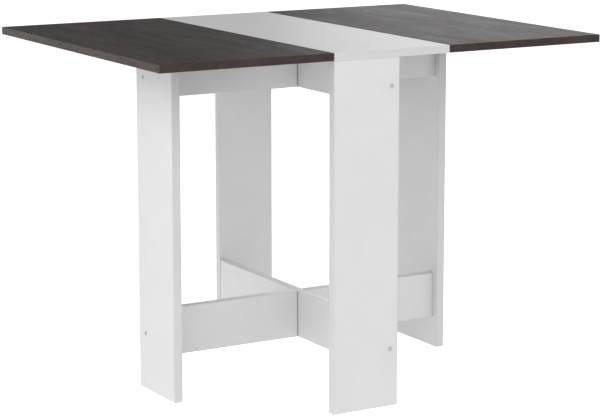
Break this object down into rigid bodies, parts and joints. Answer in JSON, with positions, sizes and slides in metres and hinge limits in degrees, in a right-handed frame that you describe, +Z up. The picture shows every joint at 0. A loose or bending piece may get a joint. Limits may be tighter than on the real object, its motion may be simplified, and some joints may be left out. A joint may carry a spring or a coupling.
{
  "type": "gateleg table",
  "caption": "Gateleg dining table, open: white centre board between two dark drop leaves, on white panel legs; two gates on upper and lower rails swing out under the leaves.",
  "frame": {"origin": "on the floor, below the middle of the open table", "axes": "+X along the open length from the left leaf to the right leaf, +Y from the front end of the fixed frame to its back end, +Z up"},
  "size_m": [1.034, 0.76, 0.734],
  "materials": {
    "white_board": "white melamine-faced board, satin",
    "dark_wood": "dark brown-grey wood-grain board, satin",
    "steel": "zinc-plated steel hinges, screws and brackets",
    "black_pad": "black felt-faced glide pads"
  },
  "bodies": {
    "fixed_frame": {"back_leg": "white_board", "back_leg_lower_screw": "steel", "back_leg_upper_screw": "steel", "centre_top": "white_board", "front_leg": "white_board", "front_leg_lower_screw": "steel", "front_leg_upper_screw": "steel", "left_centre_bracket": "steel", "left_gate_lower_hinge_pin": "steel", "left_gate_lower_hinge_rail_plate": "steel", "left_gate_upper_hinge_pin": "steel", "left_gate_upper_hinge_rail_plate": "steel", "left_leaf_hinge_1_centre_plate": "steel", "left_leaf_hinge_1_pin": "steel", "left_leaf_hinge_2_centre_plate": "steel", "left_leaf_hinge_2_pin": "steel", "left_leaf_hinge_3_centre_plate": "steel", "left_leaf_hinge_3_pin": "steel", "lower_rail": "white_board", "right_centre_bracket": "steel", "right_gate_lower_hinge_pin": "steel", "right_gate_lower_hinge_rail_plate": "steel", "right_gate_upper_hinge_pin": "steel", "right_gate_upper_hinge_rail_plate": "steel", "right_leaf_hinge_1_centre_plate": "steel", "right_leaf_hinge_1_pin": "steel", "right_leaf_hinge_2_centre_plate": "steel", "right_leaf_hinge_2_pin": "steel", "right_leaf_hinge_3_centre_plate": "steel", "right_leaf_hinge_3_pin": "steel", "upper_rail": "white_board"},
    "left_gate": {"left_gate_arm_pad": "black_pad", "left_gate_leg": "white_board", "left_gate_leg_pad": "black_pad", "left_gate_lower_hinge_gate_plate": "steel", "left_gate_lower_rail": "white_board", "left_gate_lower_screw": "steel", "left_gate_upper_hinge_gate_plate": "steel", "left_gate_upper_rail": "white_board", "left_gate_upper_screw": "steel"},
    "right_gate": {"right_gate_arm_pad": "black_pad", "right_gate_leg": "white_board", "right_gate_leg_pad": "black_pad", "right_gate_lower_hinge_gate_plate": "steel", "right_gate_lower_rail": "white_board", "right_gate_lower_screw": "steel", "right_gate_upper_hinge_gate_plate": "steel", "right_gate_upper_rail": "white_board", "right_gate_upper_screw": "steel"},
    "left_leaf": {"left_leaf": "dark_wood", "left_leaf_hinge_1_leaf_plate": "steel", "left_leaf_hinge_2_leaf_plate": "steel", "left_leaf_hinge_3_leaf_plate": "steel"},
    "right_leaf": {"right_leaf": "dark_wood", "right_leaf_hinge_1_leaf_plate": "steel", "right_leaf_hinge_2_leaf_plate": "steel", "right_leaf_hinge_3_leaf_plate": "steel"}
  },
  "joints": [
    {"name": "left_gate_hinge", "type": "hinge", "parent": "fixed_frame", "child": "left_gate", "pos_m": [-0.0225, 0.0125, 0.36], "axis": [0, 0, -1], "range_deg": [0, 90]},
    {"name": "right_gate_hinge", "type": "hinge", "parent": "fixed_frame", "child": "right_gate", "pos_m": [0.0225, -0.0325, 0.36], "axis": [0, 0, -1], "range_deg": [0, 90]},
    {"name": "left_leaf_hinge", "type": "hinge", "parent": "fixed_frame", "child": "left_leaf", "pos_m": [-0.1362, 0, 0.718], "axis": [0, 1, 0], "range_deg": [0, 3]},
    {"name": "right_leaf_hinge", "type": "hinge", "parent": "fixed_frame", "child": "right_leaf", "pos_m": [0.1362, 0, 0.718], "axis": [0, -1, 0], "range_deg": [0, 3]}
  ]
}
